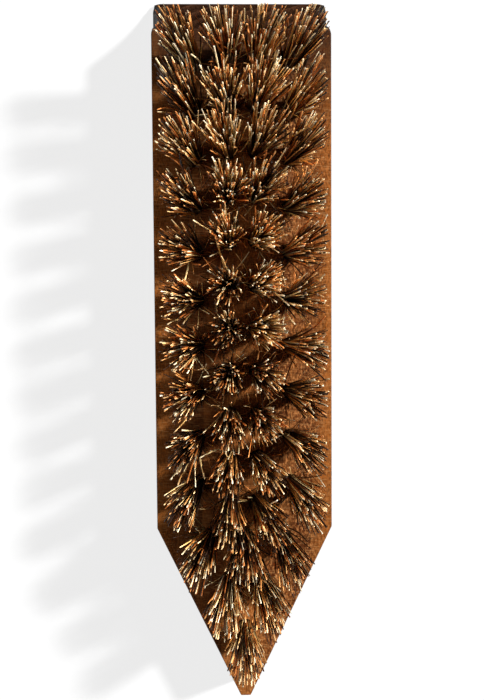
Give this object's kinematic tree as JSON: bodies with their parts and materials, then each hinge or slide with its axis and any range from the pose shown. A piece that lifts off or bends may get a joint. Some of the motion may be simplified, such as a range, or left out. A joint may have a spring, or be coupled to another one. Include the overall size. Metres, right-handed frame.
{
  "type": "cleaning brush",
  "caption": "Hand cleaning brush: a dark-stained wooden block with a sawn point, finger grooves in its sides and tufts of coarse plant fibre on a bare wood face.",
  "frame": {"origin": "middle of the block's flat back, halfway along the brush", "axes": "+Z from the flat back towards the bristle tips, +Y along the brush towards its raked rear end, -Y towards the point, +X across"},
  "size_m": [0.045, 0.18, 0.033],
  "materials": {
    "stained_wood": "satin",
    "plant_fibre": "matte"
  },
  "bodies": {
    "root": {"handle_block": "stained_wood", "tuft_outer_left_01": "plant_fibre", "tuft_outer_left_02": "plant_fibre", "tuft_outer_left_03": "plant_fibre", "tuft_outer_left_04": "plant_fibre", "tuft_outer_left_05": "plant_fibre", "tuft_outer_left_06": "plant_fibre", "tuft_outer_left_07": "plant_fibre", "tuft_outer_left_08": "plant_fibre", "tuft_outer_left_09": "plant_fibre", "tuft_outer_left_10": "plant_fibre", "tuft_inner_left_01": "plant_fibre", "tuft_inner_left_02": "plant_fibre", "tuft_inner_left_03": "plant_fibre", "tuft_inner_left_04": "plant_fibre", "tuft_inner_left_05": "plant_fibre", "tuft_inner_left_06": "plant_fibre", "tuft_inner_left_07": "plant_fibre", "tuft_inner_left_08": "plant_fibre", "tuft_inner_left_09": "plant_fibre", "tuft_inner_left_10": "plant_fibre", "tuft_inner_left_11": "plant_fibre", "tuft_inner_right_01": "plant_fibre", "tuft_inner_right_02": "plant_fibre", "tuft_inner_right_03": "plant_fibre", "tuft_inner_right_04": "plant_fibre", "tuft_inner_right_05": "plant_fibre", "tuft_inner_right_06": "plant_fibre", "tuft_inner_right_07": "plant_fibre", "tuft_inner_right_08": "plant_fibre", "tuft_inner_right_09": "plant_fibre", "tuft_inner_right_10": "plant_fibre", "tuft_inner_right_11": "plant_fibre", "tuft_outer_right_01": "plant_fibre", "tuft_outer_right_02": "plant_fibre", "tuft_outer_right_03": "plant_fibre", "tuft_outer_right_04": "plant_fibre", "tuft_outer_right_05": "plant_fibre", "tuft_outer_right_06": "plant_fibre", "tuft_outer_right_07": "plant_fibre", "tuft_outer_right_08": "plant_fibre", "tuft_outer_right_09": "plant_fibre", "tuft_outer_right_10": "plant_fibre", "tuft_point_a_left": "plant_fibre", "tuft_point_a_middle": "plant_fibre", "tuft_point_a_right": "plant_fibre", "tuft_point_b_left": "plant_fibre", "tuft_point_b_right": "plant_fibre", "tuft_point_c_middle": "plant_fibre"}
  },
  "joints": []
}
